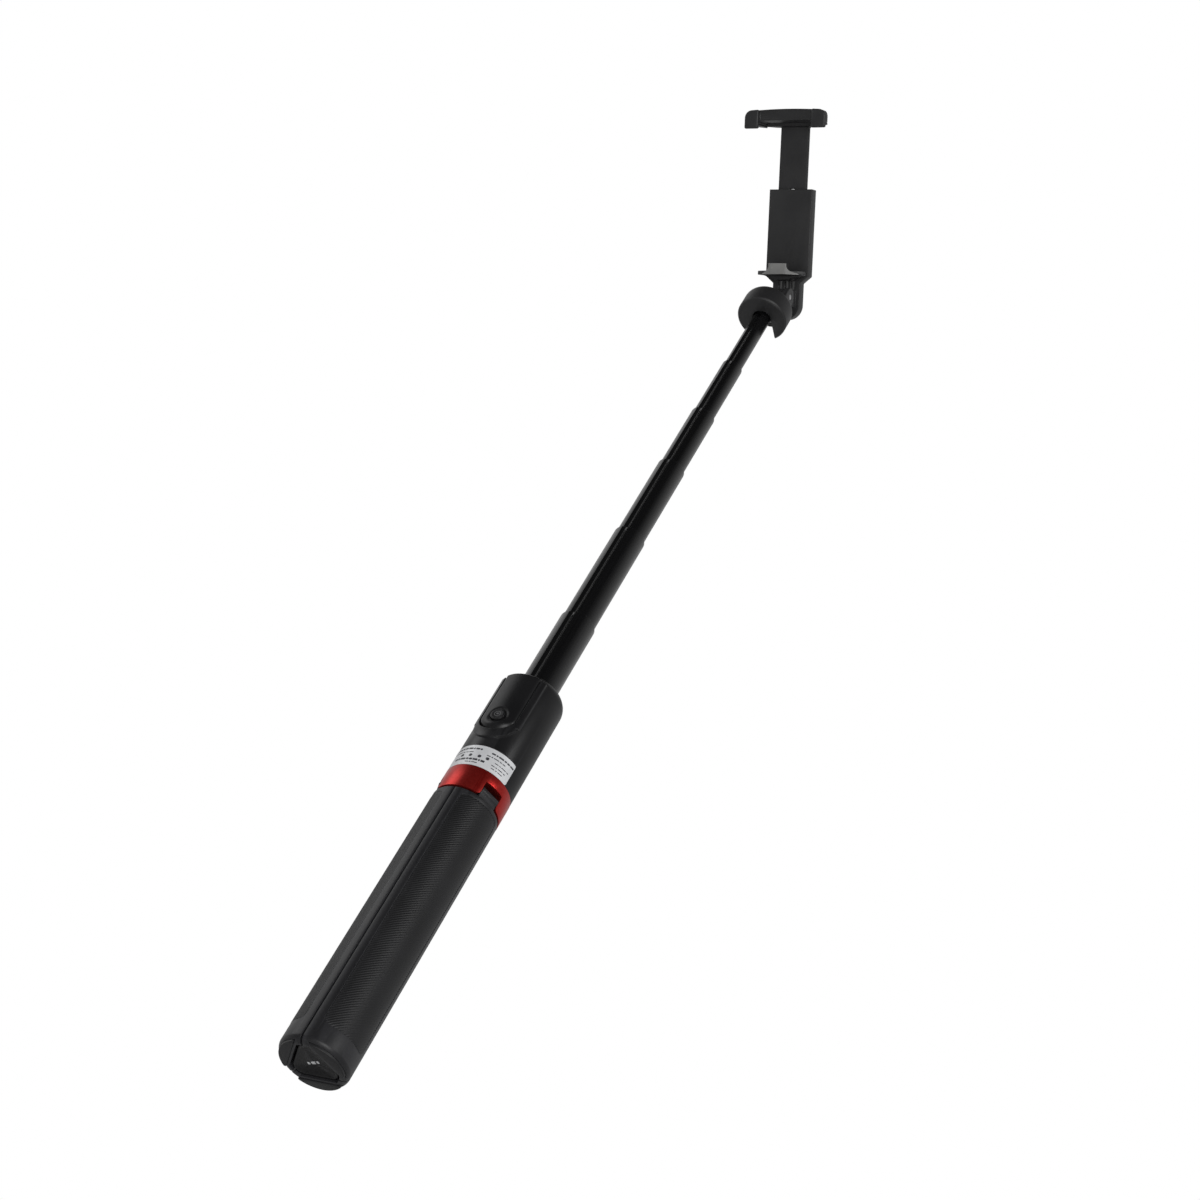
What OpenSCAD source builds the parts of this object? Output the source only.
// Selfie stick that opens into a small tripod, drawn with its legs folded into the handle.
// The origin is the middle of the foot plane, +Z runs up the stick and -Y is its front.

/* [Handle] */
// Diameter of the folded legs and of the housing
handle_d = 31; // [30:0.5:33]
// Height of the lower edge of the red collar
collar_bottom = 141; // [138:0.5:144]
// Height of the top of the collar, where the housing starts
collar_top = 153.4; // [152:0.2:156]
// Height where the housing starts to close in to its mouth
shoulder_z = 209.7; // [207:0.1:211]
// Height of the housing's mouth
mouth_z = 215.5; // [214:0.5:218]

/* [Legs] */
// Gap between one folded leg and the next
leg_seam = 0.9; // [0.6:0.1:1.2]
// Wall of a leg
leg_wall = 3.6; // [3.2:0.1:3.8]
// How far the legs swing open, in degrees
leg_swing = 52; // [40:1:52]
// Distance from a leg's hinge to its strut's pin, and the length of a strut
strut_reach = 36; // [32:1:38]
// Half angle that a ribbed grip covers
grip_half_angle = 43.5; // [38:0.5:46]

/* [Tubes] */
// Outer diameter of the widest sliding tube
tube_d = 17.5; // [17:0.1:17.6]
// How much narrower each tube is than the one around it
tube_step = 1.6; // [1.6:0.1:1.7]
// Wall of every tube
tube_wall = 0.5; // [0.4:0.1:0.5]
// Length of each sliding tube, widest first
tube_lengths = [170, 163, 156, 149, 142, 149];
// Height of each sliding tube's upper end as drawn, widest first
tube_tops = [264.4, 329.2, 385.3, 430.9, 475, 523];

/* [Head] */
// Diameter of the tilting cup
cup_d = 27.7; // [26:0.1:29]
// Height of the cup's lower face
cup_bottom = 522; // [521:0.5:523]
// Height of the cup
cup_h = 14; // [13.5:0.5:15]
// Width of the slot in the cup's back that the stick swings into
cup_slot = 10.6; // [10.2:0.1:11]

/* [Phone clamp] */
// Lean of the clamp from upright towards the front, in degrees
clamp_lean = 54; // [30:1:85]
// Width that the jaws hold as drawn
jaw_gap = 78; // [66:1:86]
// Width of the clamp's back plate
plate_w = 25; // [24:0.5:27]
// Width of the plate's lower end, below the lower jaw
neck_w = 16; // [16:0.5:20]
// Thickness of the clamp's back plate
plate_t = 6.4; // [6.4:0.1:8]
// Overall width of the upper jaw
upper_jaw_w = 47; // [44:1:50]
// Depth from the back plate to the inside of a hook
hook_depth = 12.4; // [10:0.1:13]

/* [Remote] */
// Width of the remote control
remote_w = 17; // [16:0.5:17.5]
// Height of the remote's rounded lower end
remote_bottom = 176; // [174:0.5:178]
// Height of the remote's top
remote_top = 212; // [209:0.5:213]
// Diameter of the shutter button
button_d = 6.7; // [6:0.1:7.2]

/* [Hidden] */
$fn = 96;

TUBES = [1 : 6];
LEGS = [1 : 3];

// Colours of the finishes
charcoal = [0.2, 0.2, 0.21];
satin_black = [0.12, 0.12, 0.13];
gloss_black = [0.05, 0.05, 0.055];
anodised_red = [0.66, 0.09, 0.07];
rubber_grey = [0.16, 0.16, 0.16];
steel = [0.7, 0.7, 0.72];
silver_white = [0.85, 0.85, 0.86];

// Reach of a cut past the face that it opens
over = 1;
// Gap round a turning pin and round a sliding part
run_gap = 0.05;
// Gap between parts that pass each other freely
free_gap = 0.3;

// Handle
handle_r = handle_d / 2;
collar_r = handle_r + 0.1;
leg_inner_r = handle_r - leg_wall;
leg_bottom = 0.4;
leg_top = collar_bottom - 0.6;
leg_edge_round = 3;
leg_top_chamfer = 0.5;
// Direction of each leg, in degrees from +X
function leg_angle(i) = 120 * i - 150;

// Leg hinge and linkage
hinge_x = handle_r - 2.9;
hinge_z = collar_bottom + 3;
hinge_pin_r = 1;
ear_r = 2.6;
ear_w = 9.4;
slot_w = 9.8;
slot_top = collar_bottom + 7.4;
slot_round = 2;
slot_round_z = 1.7;
hinge_pin_len = 15.2;
strut_pin_r = 0.7;
strut_pin_len = 10;
strut_w = 2.8;
strut_half_t = 1.4;
leg_pin_z = hinge_z - strut_reach;
hub_pin_z = hinge_z - 2 * strut_reach;
// Furthest that the even travel of the hub runs ahead of the struts' own pins
hub_slack = 7;
groove_w = 7.2;
groove_r = handle_r - 1.2;

// Ribbed grips and feet
grip_t = 0.6;
grip_bottom = 10.9;
grip_top = collar_bottom - 3.2;
grip_end_round = 3;
end_block_h = 8;
end_block_x = 8.4;
foot_pad_h = 2;
foot_pad_rim = 1.1;

// Hub and push cap
hub_sleeve_r = 11;
hub_bottom = 9;
hub_floor_t = 2;
hub_ear_w = 1.4;
hub_ear_x = 13.8;
push_cap_z = 1.1;
push_cap_inradius = 7.6;
push_cap_round = 4;

// Tubes
function tube_r(i) = (tube_d - tube_step * (i - 1)) / 2;
function tube_bore(i) = tube_r(i) - tube_wall;
function tube_top(i) = i == 0 ? fixed_tube_top : tube_tops[i - 1];
function tube_bottom(i) = tube_tops[i - 1] - tube_lengths[i - 1];
fixed_tube_top = mouth_z - 1.3;
fixed_tube_bottom = 40;
// The lengthwise groove that keys the tubes together
groove_key_r = 2.2;
groove_key_out = 1.4;
plug_flange_h = 5;
plug_spigot_h = 4;
plug_gap = 0.06;
liner_h = 10;
mouth_flange_h = 2;
mouth_flange_r = 9.9;

// Housing and remote
housing_bore = tube_r(0) + run_gap;
mouth_r = 10.6;
saddle_r = handle_r + 0.8;
saddle_half_w = remote_w / 2 + 2.6;
saddle_bottom = remote_bottom - 5.4;
saddle_corner = 10;
remote_gap = 0.35;
remote_r = saddle_r + 0.1;
remote_back_y = 10.9;
remote_split_y = 12.6;
remote_wall = 1.2;
remote_cavity_front = 14.4;
remote_cavity_back = 11.6;
pocket_y = 10.6;
button_z = remote_bottom + 8.7;
button_front = remote_r + 0.25;
button_flange_r = button_d / 2 + 0.9;
button_flange_front = 15.1;
button_flange_t = 0.5;
cell_r = 6.2;
cell_t = 1.6;
cell_y = 11.75;
label_bottom = collar_top + 0.2;
label_top = collar_top + 12.1;
label_half_angle = 72;
label_t = 0.35;

// Head
cup_r = cup_d / 2;
cup_top = cup_bottom + cup_h;
cup_edge = 0.8;
cup_crown_round = 4;
ball_z = cup_bottom + cup_h / 2;
knuckle_r = 5.6;
knuckle_w = 9;
knuckle_gap = 0.4;
spindle_r = 3.3;
spindle_len = 14;
tilt_pin_r = 1.5;
tilt_pin_len = 24;
fold_z = cup_top + 8;
fold_knuckle_r = 4.6;
fold_knuckle_w = 11.6;
fold_pin_r = 1.5;
mount_disc_r = 9.5;
mount_disc_h = 2;
mount_ear_r = 4.9;
mount_ear_w = 3;
mount_ear_x = fold_knuckle_w / 2 + free_gap;

// Clamp, in its own frame: the fold pin is the origin, +Z runs from the lower jaw to the upper
// one and -Y is the side that the phone faces
hook_y = 3.8;
hook_t = 2.3;
hook_h = 3;
upper_hook_lap = 1.8;
plate_front = hook_y + hook_depth;
plate_back = plate_front + plate_t;
lower_jaw_z = 15.5;
upper_jaw_z = lower_jaw_z + jaw_gap;
jaw_t = 3;
jaw_pad_t = 0.8;
keel_drop = 2.6;
keel_inset = 3;
upper_jaw_rise = 8.8;
upper_jaw_corner = 4;
upper_jaw_crown = 0.7;
bridge_gap = 2.6;
plate_end_z = -11.5;
plate_top = 60;
shoulder_low = 8.6;
shoulder_high = 12.4;
vent_w = 2;
vent_pitch = 3.7;
vent_low = 5;
vent_high = 9.8;
jaw_arm_half_w = 11.5;
jaw_arm_front = hook_y + 2.4;
channel_half_w = 8.6;
channel_wall = 1.6;
channel_front = plate_front + channel_wall;
channel_back = plate_back - channel_wall;
channel_low = 13;
tongue_low = 31.5;
spring_r = 1.2;
spring_low = 14;
spring_high = 34;
lower_hook_w = 10.7;
lower_wing_w = 28;
prong_w = 8;

// Spreads a leg's own parts: +X is outwards from the stick, as leg 1 would stand on +X
module at_leg(i) {
    rotate([0, 0, leg_angle(i)])
        children();
}

// A straight pin along Y, centred on the given point
module cross_pin(x, z, r, len) {
    translate([x, len / 2, z])
        rotate([90, 0, 0])
            cylinder(r = r, h = len);
}

// A straight pin along X, centred on the stick's axis
module side_pin(y, z, r, len) {
    translate([-len / 2, y, z])
        rotate([0, 90, 0])
            cylinder(r = r, h = len);
}

// The third of a circle that one leg fills, less half a seam each side
module leg_wedge() {
    apex = leg_seam / 2 / sin(60);
    reach = 3 * handle_r;
    polygon([[apex, 0], [apex + reach, -reach * tan(60)], [apex + reach, reach * tan(60)]]);
}

// The shape that a folded leg stays inside: rounded foot edge and chamfered upper edge
module leg_envelope() {
    foot_arc = [for (a = [-90 : 10 : 0])
        [handle_r - leg_edge_round + leg_edge_round * cos(a),
         leg_bottom + leg_edge_round + leg_edge_round * sin(a)]];
    rotate_extrude()
        polygon(concat(
            [[0, leg_bottom]],
            foot_arc,
            [[handle_r, leg_top - leg_top_chamfer], [handle_r - leg_top_chamfer, leg_top], [0, leg_top]]
        ));
}

module leg_plan() {
    intersection() {
        difference() {
            circle(r = handle_r);
            circle(r = leg_inner_r);
        }
        leg_wedge();
    }
}

// Outline of a grip seen from outside, as a prism through the leg's wall
module grip_prism(grow) {
    half_w = handle_r * sin(grip_half_angle) + grow;
    translate([leg_inner_r - 3, 0, 0])
        rotate([90, 0, 90])
            linear_extrude(height = 2 * handle_r)
                difference() {
                    translate([-half_w, grip_bottom - grow])
                        square([2 * half_w, grip_top - grip_bottom + 2 * grow]);
                    for (side = [-1, 1])
                        for (end = [0, 1])
                            grip_corner(side, end, half_w, grow);
                }
}

// What a rounded corner takes off a grip
module grip_corner(side, end, half_w, grow) {
    z = end == 0 ? grip_bottom - grow : grip_top + grow;
    way = end == 0 ? 1 : -1;
    difference() {
        translate([side * (half_w - (grip_end_round - over) / 2), z + way * (grip_end_round - over) / 2])
            square(grip_end_round + over, center = true);
        translate([side * (half_w - grip_end_round), z + way * grip_end_round])
            circle(r = grip_end_round);
    }
}

module grip_skin(grow) {
    intersection() {
        difference() {
            cylinder(r = handle_r + grow * 10, h = leg_top);
            translate([0, 0, -over])
                cylinder(r = handle_r - grip_t, h = leg_top + 2 * over);
        }
        grip_prism(grow);
    }
}

module foot_plan(inset) {
    intersection() {
        circle(r = handle_r - inset);
        leg_wedge();
        translate([end_block_x + inset, -handle_r])
            square([handle_r, 2 * handle_r]);
    }
}

// One leg: a curved shell with an ear for its hinge, a groove for its strut and a closed end
module leg_shell(i) {
    color(charcoal)
        at_leg(i)
            difference() {
                union() {
                    intersection() {
                        union() {
                            linear_extrude(height = leg_top)
                                leg_plan();
                            linear_extrude(height = end_block_h)
                                foot_plan(0);
                        }
                        leg_envelope();
                    }
                    leg_ear();
                }
                grip_skin(run_gap);
                strut_groove();
                cross_pin(hinge_x, hinge_z, hinge_pin_r + run_gap, ear_w + 2 * over);
                cross_pin(hinge_x, leg_pin_z, strut_pin_r, strut_pin_len + 2 * run_gap);
                translate([0, 0, -over])
                    linear_extrude(height = foot_pad_h + over)
                        foot_plan(foot_pad_rim);
            }
}

module leg_ear() {
    cross_pin(hinge_x, hinge_z, ear_r, ear_w);
    translate([hinge_x - 0.6, -ear_w / 2, leg_top - 4])
        cube([1.2 + 1.4, ear_w, hinge_z - leg_top + 4]);
}

module strut_groove() {
    translate([0, -groove_w / 2, hub_pin_z - hub_slack - 8])
        intersection() {
            cube([handle_r, groove_w, 2 * strut_reach + 8]);
            translate([0, groove_w / 2, 0])
                cylinder(r = groove_r, h = 2 * strut_reach + hub_slack + 1);
        }
}

module leg_grip(i) {
    color(rubber_grey)
        at_leg(i)
            grip_skin(0);
}

module foot_pad(i) {
    color(rubber_grey)
        at_leg(i)
            linear_extrude(height = foot_pad_h)
                foot_plan(foot_pad_rim + run_gap);
}

module leg_strut_pin(i) {
    color(steel)
        at_leg(i)
            cross_pin(hinge_x, leg_pin_z, strut_pin_r, strut_pin_len);
}

module leg_hinge_pins() {
    color(steel)
        for (i = LEGS)
            at_leg(i)
                cross_pin(hinge_x, hinge_z, hinge_pin_r, hinge_pin_len);
}

// A flat bar from the leg's pin down to the hub's pin
module strut(i) {
    color(satin_black)
        at_leg(i)
            difference() {
                union() {
                    cross_pin(hinge_x, leg_pin_z, strut_half_t, strut_w);
                    cross_pin(hinge_x, hub_pin_z, strut_half_t, strut_w);
                    translate([hinge_x - strut_half_t, -strut_w / 2, hub_pin_z])
                        cube([2 * strut_half_t, strut_w, strut_reach]);
                }
                cross_pin(hinge_x, leg_pin_z, strut_pin_r + run_gap, strut_w + 2 * over);
                cross_pin(hinge_x, hub_pin_z, strut_pin_r, strut_w + 2 * over);
            }
}

module hub_strut_pin(i) {
    color(steel)
        at_leg(i)
            cross_pin(hinge_x, hub_pin_z, strut_pin_r, 2 * hub_ear_w + strut_w + 0.6);
}

// The sleeve that rides on the fixed tube, with slotted ears for the three struts
module hub_sleeve() {
    sleeve_top = hub_pin_z + 4;
    ear_low = hub_pin_z - hub_slack - 3;
    hub_ear_y = strut_w / 2 + 0.2 + hub_ear_w / 2;
    color(satin_black)
        difference() {
            union() {
                translate([0, 0, hub_bottom])
                    cylinder(r = hub_sleeve_r, h = sleeve_top - hub_bottom);
                for (i = LEGS)
                    at_leg(i)
                        for (side = [-1, 1])
                            translate([tube_r(0) + 0.5, side * hub_ear_y - hub_ear_w / 2, ear_low])
                                cube([hub_ear_x - tube_r(0) - 0.5, hub_ear_w, sleeve_top - ear_low]);
            }
            translate([0, 0, hub_bottom + hub_floor_t])
                cylinder(r = tube_r(0) + 2 * run_gap, h = sleeve_top);
            for (i = LEGS)
                at_leg(i)
                    hub_pin_slot();
        }
}

// The slot lets the pin fall behind the hub while the legs are half open
module hub_pin_slot() {
    reach = 2 * (hub_ear_w + strut_w);
    slot_r = strut_pin_r + 2 * run_gap;
    cross_pin(hinge_x, hub_pin_z, slot_r, reach);
    cross_pin(hinge_x, hub_pin_z - hub_slack, slot_r, reach);
    translate([hinge_x - slot_r, -reach / 2, hub_pin_z - hub_slack])
        cube([2 * slot_r, reach, hub_slack]);
}

// The rounded triangle at the foot that is pushed in to spread the legs
module push_cap() {
    color(charcoal)
        difference() {
            translate([0, 0, push_cap_z])
                linear_extrude(height = hub_bottom - push_cap_z)
                    push_cap_plan();
            translate([0, 0, push_cap_z - 28.6])
                sphere(r = 29);
        }
}

module push_cap_plan() {
    corner = 2 * (push_cap_inradius - push_cap_round);
    for (i = LEGS)
        rotate(leg_angle(i) + 60)
            translate([corner, 0])
                circle(r = push_cap_round);
    intersection_for (i = LEGS)
        rotate(leg_angle(i))
            translate([push_cap_inradius - 4 * handle_r, -corner * sin(60)])
                square([4 * handle_r, 2 * corner * sin(60)]);
    polygon([for (i = LEGS) corner * [cos(leg_angle(i) + 60), sin(leg_angle(i) + 60)]]);
}

module collar() {
    color(anodised_red)
        difference() {
            translate([0, 0, collar_bottom])
                cylinder(r = collar_r, h = collar_top - collar_bottom);
            translate([0, 0, collar_bottom - over])
                cylinder(r = housing_bore, h = collar_top);
            for (i = LEGS)
                at_leg(i) {
                    translate([housing_bore - 0.5, 0, 0])
                        rotate([90, 0, 90])
                            linear_extrude(height = handle_r)
                                collar_slot_plan();
                    cross_pin(hinge_x, hinge_z, hinge_pin_r, hinge_pin_len + 2 * run_gap);
                }
        }
}

// Front view of a slot in the collar, which flares out round its lower corners
module collar_slot_plan() {
    flare = slot_w / 2 + slot_round;
    translate([-slot_w / 2, collar_bottom - over])
        square([slot_w, slot_top - collar_bottom + over]);
    difference() {
        translate([-flare, collar_bottom - over])
            square([2 * flare, slot_round_z + over]);
        for (side = [-1, 1])
            translate([side * flare, collar_bottom + slot_round_z])
                circle(r = slot_round);
    }
}

// Plan of a tube's outside or inside: a circle with the key groove sunk in its front
module tube_plan(r, gap) {
    difference() {
        circle(r = r - gap);
        translate([0, -(r + groove_key_out)])
            circle(r = groove_key_r + gap);
    }
}

module tube_ring(i) {
    difference() {
        tube_plan(tube_r(i), 0);
        tube_plan(tube_r(i), tube_wall);
    }
}

module fixed_tube() {
    color(gloss_black)
        translate([0, 0, fixed_tube_bottom])
            linear_extrude(height = fixed_tube_top - fixed_tube_bottom)
                tube_ring(0);
}

module tube(i) {
    color(gloss_black)
        translate([0, 0, tube_bottom(i)])
            linear_extrude(height = tube_lengths[i - 1])
                tube_ring(i);
}

// The plug on a tube's lower end guides it in the tube around it
module tube_end_plug(i) {
    color(satin_black) {
        translate([0, 0, tube_bottom(i) - plug_flange_h])
            linear_extrude(height = plug_flange_h)
                tube_plan(tube_r(i - 1), tube_wall + plug_gap);
        translate([0, 0, tube_bottom(i) - over / 2])
            linear_extrude(height = plug_spigot_h + over / 2)
                tube_plan(tube_r(i), tube_wall + run_gap / 5);
    }
}

// The thin sleeve in a tube's mouth that the next tube slides through
module tube_mouth_liner(i) {
    color(satin_black)
        translate([0, 0, tube_top(i) - liner_h])
            linear_extrude(height = liner_h)
                difference() {
                    tube_plan(tube_r(i), tube_wall + run_gap / 5);
                    if (i == 6)
                        circle(r = spindle_r + run_gap);
                    else
                        tube_plan(tube_r(i + 1), -run_gap);
                }
}

// The bush in the housing's mouth
module mouth_bush() {
    color(satin_black) {
        translate([0, 0, fixed_tube_top - liner_h])
            linear_extrude(height = liner_h + over / 2)
                difference() {
                    tube_plan(tube_r(0), tube_wall + run_gap / 5);
                    tube_plan(tube_r(1), -run_gap);
                }
        translate([0, 0, fixed_tube_top])
            linear_extrude(height = mouth_flange_h)
                difference() {
                    circle(r = mouth_flange_r);
                    tube_plan(tube_r(1), -run_gap);
                }
    }
}

// Front view of the remote, of the saddle or of the pocket between them
module pill(half_w, bottom, top, corner) {
    translate([0, bottom + corner])
        intersection() {
            circle(r = corner);
            translate([-half_w, -corner])
                square([2 * half_w, 2 * corner]);
        }
    translate([-half_w, bottom + corner])
        square([2 * half_w, top - bottom - corner]);
}

// Carries a front view back into the housing, between two depths
module from_front(near_y, far_y) {
    translate([0, -near_y, 0])
        rotate([90, 0, 0])
            linear_extrude(height = far_y - near_y)
                children();
}

module housing_profile() {
    dome = [for (a = [0 : 10 : 90])
        [mouth_r + (handle_r - mouth_r) * cos(a), shoulder_z + (mouth_z - shoulder_z) * sin(a)]];
    polygon(concat(
        [[housing_bore, collar_top], [handle_r, collar_top]],
        dome,
        [[housing_bore, mouth_z]]
    ));
}

module housing() {
    pocket_half_w = remote_w / 2 + remote_gap;
    color(satin_black)
        difference() {
            union() {
                rotate_extrude()
                    housing_profile();
                difference() {
                    intersection() {
                        from_front(pocket_y, 2 * handle_r)
                            pill(saddle_half_w, saddle_bottom, shoulder_z + 1, saddle_corner);
                        cylinder(r = saddle_r, h = mouth_z);
                    }
                    cylinder(r = housing_bore + 2, h = mouth_z);
                }
            }
            from_front(pocket_y, 2 * handle_r)
                pill(pocket_half_w, remote_bottom - remote_gap, mouth_z + over, pocket_half_w);
            translate([0, 0, fixed_tube_top])
                cylinder(r = mouth_flange_r + run_gap, h = mouth_z);
            label_skin(run_gap);
        }
}

// The plain name plate wrapped round the front, just above the collar
module label_skin(grow) {
    front_reach = 2 * handle_r;
    intersection() {
        difference() {
            translate([0, 0, label_bottom - grow])
                cylinder(r = handle_r + 0.05 + 10 * grow, h = label_top - label_bottom + 2 * grow);
            cylinder(r = handle_r - label_t, h = mouth_z);
        }
        linear_extrude(height = mouth_z)
            polygon([
                [0, 0],
                front_reach * [-tan(label_half_angle), -1],
                front_reach * [tan(label_half_angle), -1]
            ]);
    }
}

module label_plate() {
    color(silver_white)
        label_skin(0);
}

module remote_body() {
    intersection() {
        from_front(remote_back_y, 2 * handle_r)
            pill(remote_w / 2, remote_bottom, remote_top, remote_w / 2);
        cylinder(r = remote_r, h = mouth_z);
    }
}

module remote_cavity() {
    cavity_half_w = remote_w / 2 - remote_wall;
    from_front(remote_cavity_back, remote_cavity_front)
        pill(cavity_half_w, remote_bottom + remote_wall, remote_top - remote_wall, cavity_half_w);
}

module remote_front() {
    flange_room = button_flange_front + run_gap - remote_split_y;
    color(satin_black)
        difference() {
            intersection() {
                remote_body();
                from_front(remote_split_y, 2 * handle_r)
                    pill(handle_r, remote_bottom - over, mouth_z, handle_r);
            }
            remote_cavity();
            translate([0, 0, button_z])
                rotate([90, 0, 0])
                    cylinder(r = button_d / 2 + 2 * run_gap, h = 2 * handle_r);
            translate([0, -remote_split_y, button_z])
                rotate([90, 0, 0])
                    cylinder(r = button_flange_r + 2 * run_gap, h = flange_room);
        }
}

module remote_back() {
    color(satin_black)
        difference() {
            intersection() {
                remote_body();
                translate([-handle_r, -remote_split_y, 0])
                    cube([2 * handle_r, remote_split_y - remote_back_y, mouth_z]);
            }
            remote_cavity();
        }
}

module coin_cell() {
    color(steel)
        translate([0, -cell_y, (remote_bottom + remote_top) / 2 + 4])
            rotate([90, 0, 0])
                cylinder(r = cell_r, h = cell_t);
}

module shutter_button() {
    color(charcoal)
        translate([0, 0, button_z])
            rotate([90, 0, 0]) {
                translate([0, 0, button_flange_front - button_flange_t])
                    cylinder(r = button_flange_r, h = button_flange_t);
                translate([0, 0, button_flange_front - button_flange_t])
                    cylinder(r = button_d / 2, h = button_front - button_flange_front + button_flange_t);
            }
}

// The knuckle turns on its spindle in the narrowest tube and carries the tilting cup
module swivel_knuckle() {
    color(satin_black)
        difference() {
            union() {
                side_pin(0, ball_z, knuckle_r, knuckle_w);
                translate([0, 0, tube_top(6)])
                    cylinder(r = tube_r(6) - 0.3, h = ball_z - tube_top(6));
                translate([0, 0, tube_top(6) - spindle_len])
                    cylinder(r = spindle_r, h = spindle_len + over);
            }
            side_pin(0, ball_z, tilt_pin_r + run_gap, knuckle_w + 2 * over);
        }
}

module tilt_cup() {
    crown = [for (a = [0 : 10 : 90])
        [cup_r - cup_crown_round * (1 - cos(a)), cup_top - cup_crown_round * (1 - sin(a))]];
    color(charcoal)
        difference() {
            rotate_extrude()
                polygon(concat(
                    [[0, cup_bottom], [cup_r - cup_edge, cup_bottom], [cup_r, cup_bottom + cup_edge]],
                    crown,
                    [[0, cup_top]]
                ));
            translate([0, 0, cup_bottom - over])
                cylinder(r = cup_slot / 2, h = ball_z - cup_bottom + over);
            side_pin(0, ball_z, knuckle_r + knuckle_gap, cup_slot);
            translate([-cup_slot / 2, 0, cup_bottom - over])
                cube([cup_slot, cup_r + over, ball_z - cup_bottom + over + cup_slot / 2]);
            side_pin(0, ball_z, tilt_pin_r, tilt_pin_len + 2 * run_gap);
        }
}

module tilt_pin() {
    color(steel)
        side_pin(0, ball_z, tilt_pin_r, tilt_pin_len);
}

module clamp_mount() {
    color(charcoal)
        difference() {
            union() {
                translate([0, 0, cup_top])
                    cylinder(r = mount_disc_r, h = mount_disc_h);
                for (side = [-1, 1])
                    translate([side * (mount_ear_x + mount_ear_w / 2), 0, 0]) {
                        side_pin(0, fold_z, mount_ear_r, mount_ear_w);
                        translate([-mount_ear_w / 2, -mount_ear_r, cup_top + mount_disc_h / 2])
                            cube([mount_ear_w, 2 * mount_ear_r, fold_z - cup_top - mount_disc_h / 2]);
                    }
            }
            side_pin(0, fold_z, fold_pin_r, 4 * mount_ear_x);
        }
}

module fold_pin() {
    color(steel)
        side_pin(0, fold_z, fold_pin_r, 2 * (mount_ear_x + mount_ear_w));
}

module in_clamp() {
    translate([0, 0, fold_z])
        rotate([clamp_lean, 0, 0])
            children();
}

// A front view in the clamp's frame, carried back between two depths
module clamp_slab(front, back) {
    translate([0, back, 0])
        rotate([90, 0, 0])
            linear_extrude(height = back - front)
                children();
}

// Front view of the back plate: a round-ended neck that widens to the part behind the phone
module plate_outline() {
    translate([0, plate_end_z + neck_w / 2])
        circle(r = neck_w / 2);
    polygon([
        [-neck_w / 2, plate_end_z + neck_w / 2], [neck_w / 2, plate_end_z + neck_w / 2],
        [neck_w / 2, shoulder_low], [plate_w / 2, shoulder_high], [plate_w / 2, plate_top],
        [-plate_w / 2, plate_top], [-plate_w / 2, shoulder_high], [-neck_w / 2, shoulder_low]
    ]);
}

module clamp_base() {
    color(charcoal)
        in_clamp()
            difference() {
                union() {
                    clamp_slab(plate_front, plate_back)
                        plate_outline();
                    side_pin(0, 0, fold_knuckle_r, fold_knuckle_w);
                    translate([-fold_knuckle_w / 2, 0, -fold_knuckle_r])
                        cube([fold_knuckle_w, plate_front + over / 2, 2 * fold_knuckle_r]);
                }
                side_pin(0, 0, fold_pin_r + run_gap, fold_knuckle_w + 2 * over);
                for (k = [-1 : 1])
                    translate([k * vent_pitch - vent_w / 2, plate_front - over, vent_low])
                        cube([vent_w, plate_t + 2 * over, vent_high - vent_low]);
                translate([-channel_half_w, channel_front, channel_low])
                    cube([2 * channel_half_w, channel_back - channel_front, plate_top]);
            }
}

// Plan of the lower jaw's shelf: swept wings and a narrow hook in the middle
module lower_jaw_plan() {
    hook_half = lower_hook_w / 2;
    wing_half = lower_wing_w / 2;
    polygon([
        [-wing_half + 3, plate_front], [-wing_half, hook_y + 4], [-wing_half + 4, hook_y + 1.8],
        [-hook_half, hook_y + 0.6], [-hook_half, hook_y - hook_t],
        [hook_half, hook_y - hook_t], [hook_half, hook_y + 0.6],
        [wing_half - 4, hook_y + 1.8], [wing_half, hook_y + 4], [wing_half - 3, plate_front]
    ]);
}

module lower_jaw() {
    color(charcoal)
        in_clamp() {
            translate([0, 0, lower_jaw_z - jaw_t])
                linear_extrude(height = jaw_t - jaw_pad_t)
                    lower_jaw_plan();
            translate([-lower_hook_w / 2, hook_y - hook_t, lower_jaw_z - jaw_t])
                cube([lower_hook_w, hook_t, jaw_t + hook_h]);
            lower_jaw_keel();
        }
}

// The keel under the shelf, deepest in the middle, that braces it against the back plate
module lower_jaw_keel() {
    keel_half = lower_wing_w / 2 - keel_inset;
    shelf_under = lower_jaw_z - jaw_t;
    keel_floor = shelf_under - keel_drop;
    clamp_slab(hook_y + 4, plate_front)
        polygon([
            [-keel_half, shelf_under + 0.2], [-keel_half, shelf_under],
            [-keel_half / 3, keel_floor], [keel_half / 3, keel_floor],
            [keel_half, shelf_under], [keel_half, shelf_under + 0.2]
        ]);
}

module lower_jaw_pad() {
    color(rubber_grey)
        in_clamp()
            translate([-lower_hook_w / 2, hook_y, lower_jaw_z - jaw_pad_t])
                cube([lower_hook_w, plate_front - hook_y, jaw_pad_t]);
}

module jaw_spring() {
    color(steel)
        in_clamp()
            translate([0, (channel_front + channel_back) / 2, spring_low])
                cylinder(r = spring_r, h = spring_high - spring_low);
}

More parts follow.
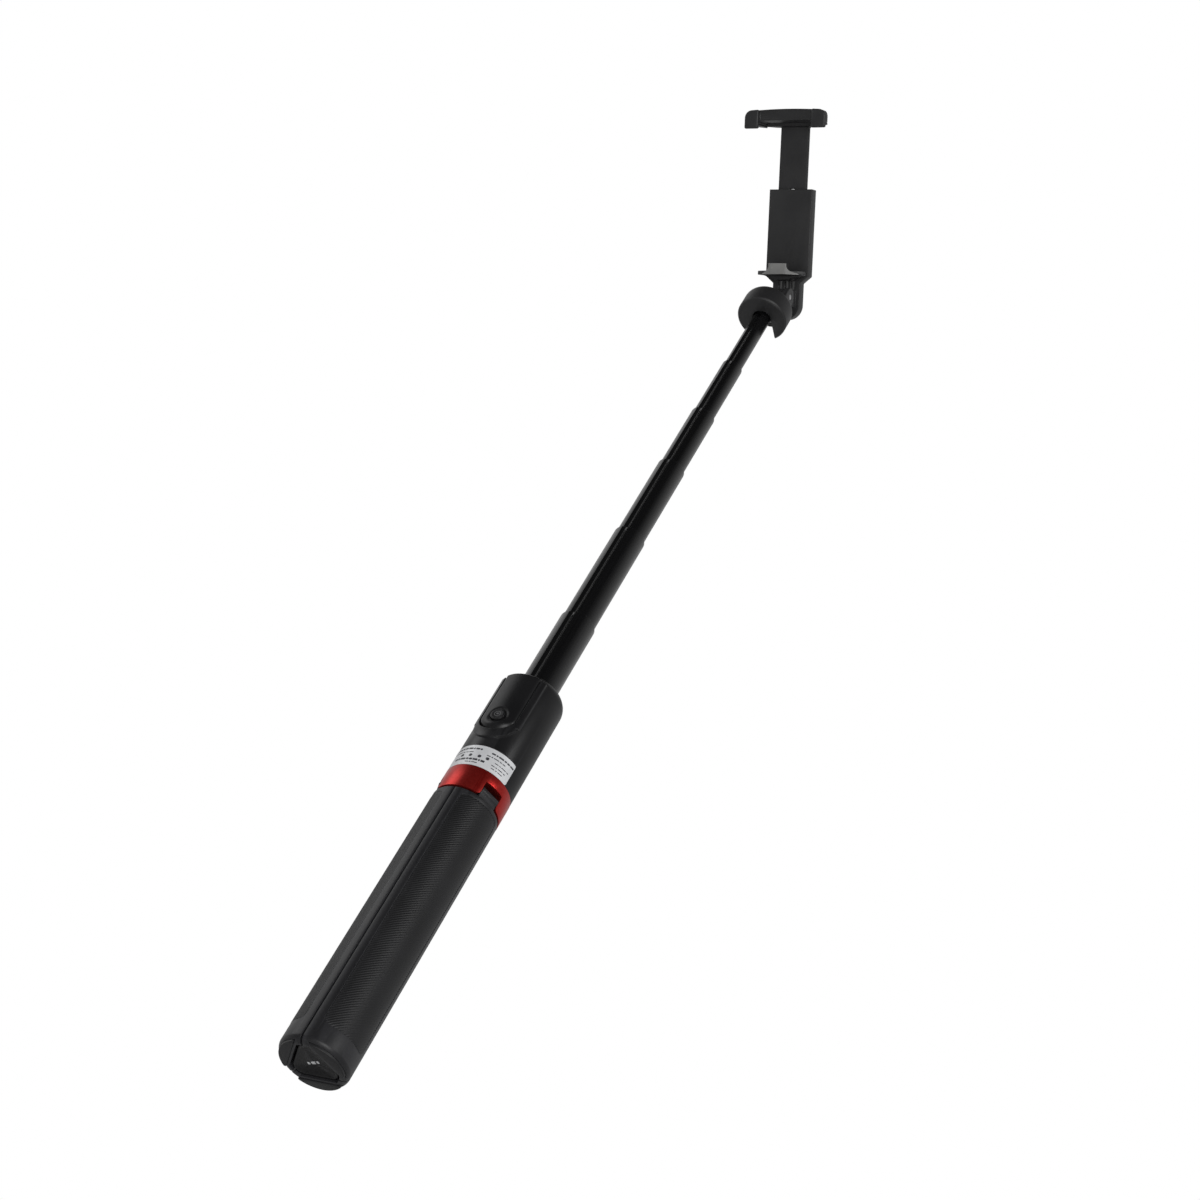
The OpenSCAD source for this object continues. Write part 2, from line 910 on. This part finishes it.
// Front view of the upper jaw: rounded shoulders and a gently crowned top
module upper_jaw_outline() {
    flat_half = upper_jaw_w / 2 - upper_jaw_corner;
    low = upper_jaw_z + jaw_pad_t;
    top = upper_jaw_z + upper_jaw_rise;
    corner_z = top - upper_jaw_crown - upper_jaw_corner;
    polygon(concat(
        [[-upper_jaw_w / 2, low], [upper_jaw_w / 2, low]],
        [for (a = [0 : 15 : 90])
            [flat_half + upper_jaw_corner * cos(a), corner_z + upper_jaw_corner * sin(a)]],
        [for (k = [3 : -1 : -3]) [flat_half * k / 4, top - upper_jaw_crown * k * k / 16]],
        [for (a = [90 : 15 : 180])
            [-flat_half + upper_jaw_corner * cos(a), corner_z + upper_jaw_corner * sin(a)]]
    ));
}

// Plan of the upper jaw: full width at its hooks, narrower where it reaches back to the plate
module upper_jaw_plan(front) {
    half = upper_jaw_w / 2;
    polygon([
        [-half, front], [half, front], [half, jaw_arm_front],
        [jaw_arm_half_w, plate_back], [-jaw_arm_half_w, plate_back], [-half, jaw_arm_front]
    ]);
}

// The upper jaw, its two hooked prongs and the tongue that slides in the back plate
module clamp_slider() {
    tongue_half_w = channel_half_w - free_gap;
    tongue_front = channel_front + free_gap;
    tongue_t = channel_back - channel_front - 2 * free_gap;
    hook_front = hook_y - hook_t;
    hook_low = upper_jaw_z - upper_hook_lap;
    between_prongs = upper_jaw_w - 2 * prong_w;
    color(charcoal)
        in_clamp()
            difference() {
                union() {
                    translate([-tongue_half_w, tongue_front, tongue_low])
                        cube([2 * tongue_half_w, tongue_t, upper_jaw_z - tongue_low + jaw_t]);
                    intersection() {
                        clamp_slab(hook_front, plate_back + over)
                            upper_jaw_outline();
                        translate([0, 0, upper_jaw_z])
                            linear_extrude(height = 2 * upper_jaw_rise)
                                upper_jaw_plan(hook_front);
                    }
                    translate([-upper_jaw_w / 2, hook_front, hook_low])
                        cube([upper_jaw_w, hook_t, upper_hook_lap + jaw_t]);
                }
                translate([-between_prongs / 2, hook_front - over, hook_low - over])
                    cube([between_prongs, hook_t + over, upper_jaw_rise + upper_hook_lap + 2 * over]);
                translate([-between_prongs / 2, hook_y - over, hook_low - over])
                    cube([between_prongs, plate_front - hook_y + over, upper_hook_lap + bridge_gap + over]);
                translate([-spring_r - free_gap, tongue_front - over, tongue_low - over])
                    cube([2 * (spring_r + free_gap), tongue_t + 2 * over, spring_high - spring_low + 10]);
            }
}

module upper_jaw_pads() {
    color(rubber_grey)
        in_clamp()
            intersection() {
                translate([0, 0, upper_jaw_z])
                    linear_extrude(height = jaw_pad_t)
                        upper_jaw_plan(hook_y);
                union()
                    for (side = [-1, 1])
                        translate([side * (upper_jaw_w - prong_w) / 2 - prong_w / 2, 0, upper_jaw_z - over])
                            cube([prong_w, plate_front, jaw_pad_t + 2 * over]);
            }
}

housing();
collar();
fixed_tube();
mouth_bush();
label_plate();
leg_hinge_pins();
for (i = LEGS) {
    leg_shell(i);
    leg_grip(i);
    foot_pad(i);
    leg_strut_pin(i);
    strut(i);
    hub_strut_pin(i);
}
hub_sleeve();
push_cap();
for (i = TUBES) {
    tube(i);
    tube_end_plug(i);
    tube_mouth_liner(i);
}
swivel_knuckle();
tilt_cup();
tilt_pin();
clamp_mount();
clamp_base();
fold_pin();
lower_jaw();
lower_jaw_pad();
jaw_spring();
clamp_slider();
upper_jaw_pads();
remote_front();
remote_back();
coin_cell();
shutter_button();
